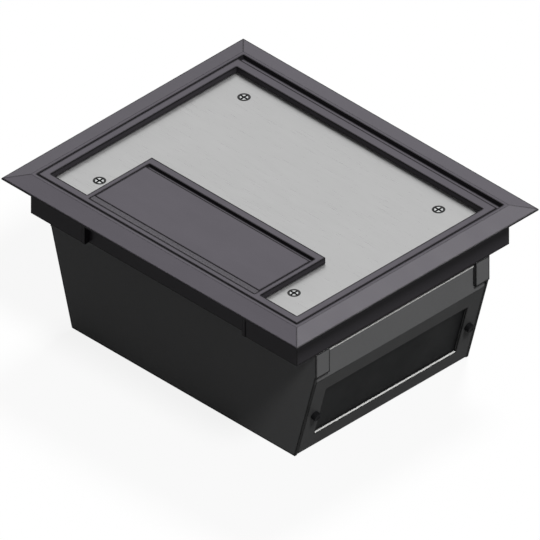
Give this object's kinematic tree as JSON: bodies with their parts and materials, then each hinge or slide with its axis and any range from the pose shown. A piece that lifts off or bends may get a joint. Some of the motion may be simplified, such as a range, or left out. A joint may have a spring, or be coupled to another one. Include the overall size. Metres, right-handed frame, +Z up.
{
  "type": "floor socket box",
  "caption": "Recessed floor box with a hinged steel-plated lid, a cable flap, a sloped-end sheet box, socket and data plates, and swing-out floor clamps.",
  "frame": {"origin": "centre of the underside of the box, in plan the centre of the flange", "axes": "+X along the box's length, +Y across it towards the lid's hinge, +Z up out of the floor; the cable flap is at -Y"},
  "size_m": [0.331, 0.271, 0.148],
  "materials": {
    "moulding": "fine-grained moulded dark grey",
    "flap_moulding": "fine-grained moulded dark grey",
    "seal": "soft black foam strip",
    "lip": "soft dark grey lip",
    "lid_steel": "plain flat rolled steel",
    "zinc_screws": "zinc plated",
    "box_steel": "dark graphite coat, bright at cut edges",
    "end_plate_steel": "black coat",
    "bush": "black oxide",
    "galvanised": "galvanised, faint spangle",
    "socket_white": "white moulded",
    "rocker_white": "white moulded, polished",
    "housing": "off-white moulded",
    "shutter": "grey moulded",
    "contact_brass": "stamped brass",
    "spring_steel": "drawn wire",
    "outlet": "dark moulded",
    "blank_coat": "black coat"
  },
  "bodies": {
    "box": {"trim_frame": "moulding", "ledge_seal": "seal", "box_pan": "box_steel", "wall_front": "box_steel", "wall_rear": "box_steel", "box_screws": "zinc_screws", "box_nuts": "zinc_screws", "end_plate_left": "end_plate_steel", "end_plate_right": "end_plate_steel", "end_bushes": "bush", "end_screws": "bush", "rail_front": "galvanised", "rail_rear": "galvanised", "rail_nuts": "zinc_screws", "divider_left": "galvanised", "divider_right": "galvanised", "divider_rivets": "zinc_screws", "plate_screws": "zinc_screws", "socket_plate": "socket_white", "socket_housing": "housing", "socket_earth_bar": "contact_brass", "socket_neutral_bar": "contact_brass", "socket_live_contacts": "contact_brass", "socket_terminal_screws": "zinc_screws", "shutter_spring_front": "spring_steel", "shutter_spring_rear": "spring_steel", "data_plate": "blank_coat", "data_outlets": "outlet", "blank_plate": "blank_coat", "earth_stud": "contact_brass", "earth_nuts": "contact_brass"},
    "lid": {"lid_frame": "moulding", "lid_plate": "lid_steel", "lid_screws": "zinc_screws", "lid_hinge_pins": "zinc_screws"},
    "flap": {"cable_flap": "flap_moulding", "flap_lip": "lip", "flap_hinge_pins": "zinc_screws"},
    "rocker_front": {"rocker_front": "rocker_white"},
    "rocker_rear": {"rocker_rear": "rocker_white"},
    "shutter_front": {"shutter_front": "shutter"},
    "shutter_rear": {"shutter_rear": "shutter"},
    "clamp_turn_1": {"clamp_screw_1": "zinc_screws", "clamp_clip_1": "spring_steel"},
    "clamp_claw_1": {"clamp_claw_1": "zinc_screws"},
    "clamp_turn_2": {"clamp_screw_2": "zinc_screws", "clamp_clip_2": "spring_steel"},
    "clamp_claw_2": {"clamp_claw_2": "zinc_screws"},
    "clamp_turn_3": {"clamp_screw_3": "zinc_screws", "clamp_clip_3": "spring_steel"},
    "clamp_claw_3": {"clamp_claw_3": "zinc_screws"},
    "clamp_turn_4": {"clamp_screw_4": "zinc_screws", "clamp_clip_4": "spring_steel"},
    "clamp_claw_4": {"clamp_claw_4": "zinc_screws"}
  },
  "joints": [
    {"name": "lid_hinge", "type": "hinge", "parent": "box", "child": "lid", "pos_m": [0, 0.1094, 0.1426], "axis": [-1, 0, 0], "range_deg": [0, 95]},
    {"name": "flap_hinge", "type": "hinge", "parent": "lid", "child": "flap", "pos_m": [0, -0.0468, 0.1444], "axis": [-1, 0, 0], "range_deg": [0, 95]},
    {"name": "rocker_front_tilt", "type": "hinge", "parent": "box", "child": "rocker_front", "pos_m": [-0.0776, -0.011, 0.0508], "axis": [0, -1, 0], "range_deg": [0, 12]},
    {"name": "shutter_front_slide", "type": "slide", "parent": "box", "child": "shutter_front", "axis": [-1, 0, 0], "range_m": [0, 0.0056], "stiffness_N_per_m": 30, "springref_m": -0.006, "deforming": ["shutter_spring_front"]},
    {"name": "rocker_rear_tilt", "type": "hinge", "parent": "box", "child": "rocker_rear", "pos_m": [-0.0776, 0.011, 0.0508], "axis": [0, -1, 0], "range_deg": [0, 12]},
    {"name": "shutter_rear_slide", "type": "slide", "parent": "box", "child": "shutter_rear", "axis": [-1, 0, 0], "range_m": [0, 0.0056], "stiffness_N_per_m": 30, "springref_m": -0.006, "deforming": ["shutter_spring_rear"]},
    {"name": "clamp_1_turn", "type": "hinge", "parent": "box", "child": "clamp_turn_1", "pos_m": [-0.112, -0.1025, 0.12], "axis": [0, 0, -1], "range_deg": [0, 90]},
    {"name": "clamp_1_lower", "type": "slide", "parent": "clamp_turn_1", "child": "clamp_claw_1", "axis": [0, 0, -1], "range_m": [0, 0.008]},
    {"name": "clamp_2_turn", "type": "hinge", "parent": "box", "child": "clamp_turn_2", "pos_m": [0.112, -0.1025, 0.12], "axis": [0, 0, -1], "range_deg": [0, 90]},
    {"name": "clamp_2_lower", "type": "slide", "parent": "clamp_turn_2", "child": "clamp_claw_2", "axis": [0, 0, -1], "range_m": [0, 0.008]},
    {"name": "clamp_3_turn", "type": "hinge", "parent": "box", "child": "clamp_turn_3", "pos_m": [-0.112, 0.1025, 0.12], "axis": [0, 0, -1], "range_deg": [0, 90]},
    {"name": "clamp_3_lower", "type": "slide", "parent": "clamp_turn_3", "child": "clamp_claw_3", "axis": [0, 0, -1], "range_m": [0, 0.008]},
    {"name": "clamp_4_turn", "type": "hinge", "parent": "box", "child": "clamp_turn_4", "pos_m": [0.112, 0.1025, 0.12], "axis": [0, 0, -1], "range_deg": [0, 90]},
    {"name": "clamp_4_lower", "type": "slide", "parent": "clamp_turn_4", "child": "clamp_claw_4", "axis": [0, 0, -1], "range_m": [0, 0.008]}
  ]
}
